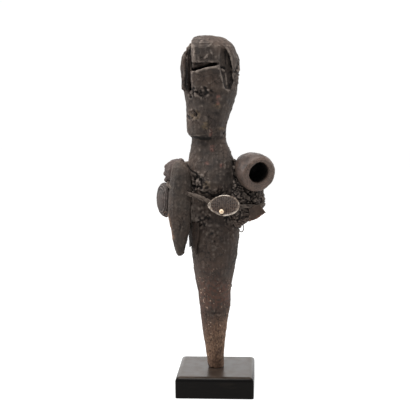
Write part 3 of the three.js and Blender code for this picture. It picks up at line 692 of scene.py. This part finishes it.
def peg_colours(cake, colour):
    return cake.blend(colour, (120, 92, 74), cake.mark("pale_edge_line") * cake.noise(2.4, 4).between(0.35, 0.6) * 0.8)


dress(peg, caked("clay_coat", (38, 33, 30), (64, 56, 50), (104, 94, 87), peg_colours, grain=0.06),
      "clay_coat", "bound_peg")


# Clay packs: handfuls of clay and offerings, pressed between the bound pieces and dried into crumbling blocks.

for node, name, seed in (("right_clay_pack", "right_clay", 60), ("left_clay_pack", "left_clay", 75)):
    pack = fine_copy(node, name, 0.5)
    points, facing = skin_of(pack)
    pack_edge, pack_block = plates(points, 6.5, seed)
    small_edge, small_block = plates(points, 3.1, seed + 11)
    crack_width = 0.3 + 1.1 * smooth_step(0.5 + lumps(points, 8, seed + 12))
    pack_crack = smooth_step(1 - pack_edge / crack_width)
    height = 0.9 * pack_block - 1.2 * pack_crack + 0.35 * small_block - 0.4 * smooth_step(1 - small_edge / 0.6)
    height += 0.6 * clods(points, 2.6, seed + 13) + 0.25 * lumps(points, 1.2, seed + 14) - 0.3
    work(pack, height, {"hollow": 0.4 * pack_crack}, 0.35)
    crumble(pack, points, facing, np.ones(len(points)), 160, (0.8, 2.2), seed)
    dress(pack, caked(name + "_clay", (40, 34, 31), (70, 61, 55), (112, 101, 93)), "dried_clay", node)


# Medicine gourd: a small gourd cut off at the neck and left open, its rind polished by hands at the lip. Its inside is
# painted near black as shade.

gourd = fine_copy("medicine_gourd", "gourd_rind", 0.55, 4)
points, facing = skin_of(gourd)
GOURD_MOUTH = np.array((40.9, -28, 199))
GOURD_AXIS = np.array((0.44, -0.86, -0.26))
GOURD_AXIS = GOURD_AXIS / np.linalg.norm(GOURD_AXIS)
from_mouth = points - GOURD_MOUTH
behind = -(from_mouth @ GOURD_AXIS)
out = np.linalg.norm(from_mouth - (from_mouth @ GOURD_AXIS)[:, None] * GOURD_AXIS, axis=1)
inside = smooth_step((11.5 - out) / 2) * smooth_step((behind - 0.5) / 3)
height = 0.35 * lumps(points, 7, 81) + 0.15 * lumps(points, 2.4, 82)
work(gourd, height, {"inside": inside, "lip": smooth_step((4 - behind) / 4) * (1 - inside)})

rind = Finish("gourd_rind")
speckle = rind.noise(0.9, 5).between(0.42, 0.66)
blotch = rind.noise(7, 4).between(0.35, 0.65)
rind_colour = rind.blend((34, 26, 22), (78, 62, 53), speckle * 0.5 + blotch * 0.5)
rind_colour = rind.blend(rind_colour, (112, 91, 79), rind.mark("lip") * (0.15 + 0.5 * speckle))
rind_colour = rind.blend(rind_colour, (40, 28, 22), rind.mark("hollow").between(0.1, 0.8) * 0.6)
# Painted shade: the inside is painted near black for the dark of its open mouth.
rind_colour = rind.blend(rind_colour, (16, 11, 9), rind.mark("inside"))
dress(gourd, rind.close(rind_colour, 0.5 + 0.2 * speckle, rind.noise(0.8, 4) * 0.6 + speckle * 0.4, 0.2,
                        specular_ior_level=0.4), "gourd_rind", "medicine_gourd")


# Hide flap: a stiff scrap of dried hide tucked under the lashing at the right.

hide = fine_copy("hide_flap", "hide_scrap", 0.4)
points, facing = skin_of(hide)
height = 0.3 * lumps(points, 4, 91) + 0.15 * lumps(points, 1.5, 92)
work(hide, height, {"rim_tint_and_highlight": smooth_step((162.5 - points[:, 2] + 0.45 * (points[:, 0] - 38)) / 4)})


def hide_colours(cake, colour):
    return cake.blend(colour, (150, 92, 66), cake.mark("rim_tint_and_highlight") * cake.noise(2.5, 4).between(0.3, 0.6))


dress(hide, caked("dry_hide", (40, 32, 28), (66, 54, 47), (104, 88, 78), hide_colours), "dry_hide", "hide_flap")


# Knobbed pod and ridged disc: a seed pod and an oval seed or husk, bound to the left side and lightly caked.

pod = fine_copy("knobbed_pod", "pod_husk", 0.45)
points, facing = skin_of(pod)
height = 0.22 * lumps(points, 3, 101) + 0.12 * lumps(points, 1.3, 102)
work(pod, height, {})
dress(pod, caked("pod_husk", (46, 38, 36), (76, 65, 61), (130, 114, 108), rough=0.7, deep=0.25),
      "pod_husk", "knobbed_pod")

disc = fine_copy("ridged_disc", "disc_husk", 0.45)
points, facing = skin_of(disc)
height = 0.15 * lumps(points, 3, 111) + 0.1 * lumps(points, 1.3, 112)
work(disc, height, {})
dress(disc, caked("disc_husk", (30, 26, 24), (58, 50, 47), (116, 106, 101), rough=0.62, deep=0.2),
      "disc_husk", "ridged_disc")


# Disc ring: a small ring of dark metal stuck to the lower rim of the disc.

ring = fine_copy("disc_ring", "dark_ring", 0.3)
points, facing = skin_of(ring)
work(ring, 0.1 * lumps(points, 1.2, 121), {}, 0.1)
iron = Finish("dark_metal")
rust = iron.noise(1.5, 5).between(0.4, 0.65)
dress(ring, iron.close(iron.blend((34, 29, 26), (82, 58, 42), rust), 0.55 + 0.3 * rust, iron.noise(0.6), 0.1,
                       metallic=0.4), "dark_metal", "disc_ring")


# Lashing cord: one turn of three-ply cord round everything, caked like the rest.

LASHING = [
    (-2.8, -23.6, 174.6), (-8.1, -24, 178), (-14.2, -24, 180.3), (-20.3, -23.8, 182), (-28, -24.7, 184.4),
    (-35, -22.7, 187), (-39.4, -17.4, 188.8), (-40.8, -9, 190), (-39.6, 2, 190), (-34, 12, 188), (-23, 19.6, 184),
    (-8, 22.6, 180), (10, 22.4, 176), (25, 17, 172.6), (37, 10, 171), (43, 1, 170.6), (42.8, -8, 170.8),
    (39.6, -15.4, 171.2), (32, -19.8, 171), (24, -22.2, 171.2), (14, -23, 171.6), (5, -23, 172.8),
]
LASHING_RADIUS = 1.95


def laid_cord(name, route, radius, lay, closed=False, lobes=3, bulge=0.16):
    """A cord of twisted strands along a route. lay is the length of cord in which its strands go once round."""
    section = bpy.data.curves.new(name + "_section", "CURVE")
    outline = section.splines.new("POLY")
    corners = 8 * lobes
    outline.points.add(corners - 1)
    for corner, point in enumerate(outline.points):
        turn = 2 * math.pi * corner / corners
        away = radius * (1 - bulge + bulge * abs(math.cos(lobes * turn / 2)) * 1.6) * MM
        point.co = (away * math.cos(turn), away * math.sin(turn), 0, 1)
    outline.use_cyclic_u = True
    section_piece = bpy.data.objects.new(name + "_section", section)
    path = bpy.data.curves.new(name, "CURVE")
    path.dimensions = "3D"
    path.twist_mode = "MINIMUM"
    path.bevel_mode = "OBJECT"
    path.bevel_object = section_piece
    path.use_fill_caps = not closed
    run = path.splines.new("POLY")
    fine = smoothed(route, closed)
    run.points.add(len(fine) - 1)
    gone = 0.0
    for index, point in enumerate(fine):
        if index:
            gone += (Vector(point) - Vector(fine[index - 1])).length
        run.points[index].co = (*[value * MM for value in point], 1)
        run.points[index].tilt = 2 * math.pi * gone / lay
    run.use_cyclic_u = closed
    cord = bpy.data.objects.new(name, path)
    scene.collection.objects.link(cord)
    made = cord.evaluated_get(bpy.context.evaluated_depsgraph_get())
    mesh = bpy.data.meshes.new_from_object(made)
    bpy.data.objects.remove(cord)
    bpy.data.objects.remove(section_piece)
    form = bmesh.new()
    form.from_mesh(mesh)
    bmesh.ops.remove_doubles(form, verts=form.verts, dist=0.01 * MM)
    bmesh.ops.recalc_face_normals(form, faces=form.faces)
    return linked(name, form)


def smoothed(route, closed, step=0.6):
    """Places about a step apart on a smooth curve through a route's points."""
    knots = [np.array(point, float) for point in route]
    if closed:
        knots = [knots[-1]] + knots + knots[:2]
    else:
        knots = [2 * knots[0] - knots[1]] + knots + [2 * knots[-1] - knots[-2]]
    fine = []
    for a, b, c, d in zip(knots, knots[1:], knots[2:], knots[3:]):
        count = max(2, int(np.linalg.norm(c - b) / step))
        for part in range(count):
            t = part / count
            fine.append(tuple(0.5 * (2 * b + (c - a) * t + (2 * a - 5 * b + 4 * c - d) * t ** 2
                                     + (3 * b - a - 3 * c + d) * t ** 3)))
    if not closed:
        fine.append(tuple(knots[-2]))
    return fine


lashing = laid_cord("lashing", LASHING, LASHING_RADIUS, 30, closed=True)
points, facing = skin_of(lashing)

# On the front of the peg the cord is buried in the coat of clay
buried = smooth_step((-20.5 - points[:, 0]) / 3) * smooth_step((points[:, 0] + 42) / 2) * (points[:, 1] < -8)
points[:, 1] += 1.9 * buried
lashing.data.vertices.foreach_set("co", (points * MM).ravel())
lashing.data.update()
knotty = 0.45 * clods(points, 4.2, 130) + 0.3 * lumps(points, 3, 131) + 0.15 * lumps(points, 1.3, 132) - 0.25
work(lashing, knotty, {}, 0.2)
crumble(lashing, points, facing, np.ones(len(points)), 120, (0.7, 1.7), 133)
dress(lashing, caked("crusted_cord", (34, 29, 26), (58, 50, 45), (92, 82, 74)), "crusted_cord", "lashing_cord")

THIN_CORD = [(-17.6, -19.6, 178), (-17.6, -19.5, 171), (-17.6, -18.9, 164), (-17.6, -17, 157.6)]
thin = laid_cord("thin_string", THIN_CORD, 0.62, 5, lobes=2)
points, facing = skin_of(thin)
work(thin, 0.06 * lumps(points, 1.5, 141), {}, 0.1)
dress(thin, caked("crusted_string", (46, 39, 35), (70, 62, 56), (100, 90, 82)), "crusted_cord", "thin_cord")

LOOP = [(25.4, -5, 152.4), (26.2, -6, 149.4), (25, -6.6, 146.4), (22.9, -6.6, 146.4), (21.8, -6.4, 149)]
loop = laid_cord("string_loop", LOOP, 0.5, 4, lobes=2)
points, facing = skin_of(loop)
work(loop, 0.05 * lumps(points, 1.5, 151), {}, 0.1)
dress(loop, caked("crusted_loop", (60, 52, 48), (90, 80, 74), (130, 119, 110)), "crusted_cord", "cord_loop")


# Chest shell and bead: a small worn shell hung face out on the lashing, with a pale bead stuck in it. The shell's rim
# carries a painted highlight and the bead's dimple painted shade.

shell = fine_copy("chest_shell", "shell_dish", 0.32, 3)
points, facing = skin_of(shell)
SHELL_CENTRE = np.array((10, -27.4, 172.6))
away = np.hypot((points[:, 0] - SHELL_CENTRE[0]) / 13.5, (points[:, 2] - SHELL_CENTRE[2]) / 9.4)
within = smooth_step((0.93 - away) / 0.12) * smooth_step(-facing[:, 1])
ribs = np.sin((points[:, 0] - SHELL_CENTRE[0]) * 2 * math.pi / 1.9 + 1.2 * lumps(points, 4, 161))
height = 0.16 * ribs * within + 0.15 * lumps(points, 2.6, 162)
work(shell, height, {"inside": within, "rim_tint_and_highlight": smooth_step((away - 0.86) / 0.1) * smooth_step(-facing[:, 1] * 2)}, 0.12)
nacre = Finish("worn_shell")
shell_motes = nacre.noise(1.0, 5).between(0.35, 0.7)
shell_colour = nacre.blend((88, 74, 64), (130, 114, 100), shell_motes)
shell_colour = nacre.blend(shell_colour, (60, 44, 36), nacre.mark("inside") * (1 - 0.5 * shell_motes))
# Painted highlight: the front of the rim is painted near white, for the light that it catches.
shell_colour = nacre.blend(shell_colour, (205, 192, 178), nacre.mark("rim_tint_and_highlight") * nacre.noise(5, 3).between(0.42, 0.58))
shell_colour = nacre.blend(shell_colour, (24, 18, 15), nacre.mark("hollow") * 0.8)
dress(shell, nacre.close(shell_colour, 0.34 + 0.2 * shell_motes, nacre.noise(0.7, 3), 0.1,
                         specular_ior_level=0.5), "worn_shell", "chest_shell")

bead = fine_copy("shell_bead", "bead", 0.22, 2)
points, facing = skin_of(bead)
BEAD_CENTRE = np.array((7.4, -28.9, 167.4))
bead_away = np.hypot(points[:, 0] - BEAD_CENTRE[0], points[:, 2] - BEAD_CENTRE[2])
dimple = smooth_step(1 - bead_away / 0.9) * front(facing)
work(bead, -0.5 * dimple + 0.05 * lumps(points, 1.2, 171), {"bead_hole_shade": dimple}, 0.1)
glaze = Finish("pale_bead")
bead_colour = glaze.blend((226, 196, 160), (240, 218, 190), glaze.noise(1.2, 3))
# Painted shade: the dimple in the middle of the bead is painted darker, for the dark of its hole.
bead_colour = glaze.blend(bead_colour, (190, 130, 84), glaze.mark("bead_hole_shade"))
dress(bead, glaze.close(bead_colour, 0.4, glaze.noise(0.8), 0.03), "pale_bead", "shell_bead")


# Bark strip: dark bark clinging to the stake between it and the peg, torn off below, its browns made darker still as
# painted shade of the recess between them.

bark = fine_copy("bark_strip", "bark", 0.4)
points, facing = skin_of(bark)
bark_grain = lumps(points, 1.6, 181, (1, 1, 0.2))
work(bark, 0.3 * bark_grain + 0.2 * lumps(points, 2.5, 182), {})
dress(bark, caked("dark_bark", (18, 14, 12), (34, 27, 23), (64, 53, 46)), "dark_bark", "bark_strip")
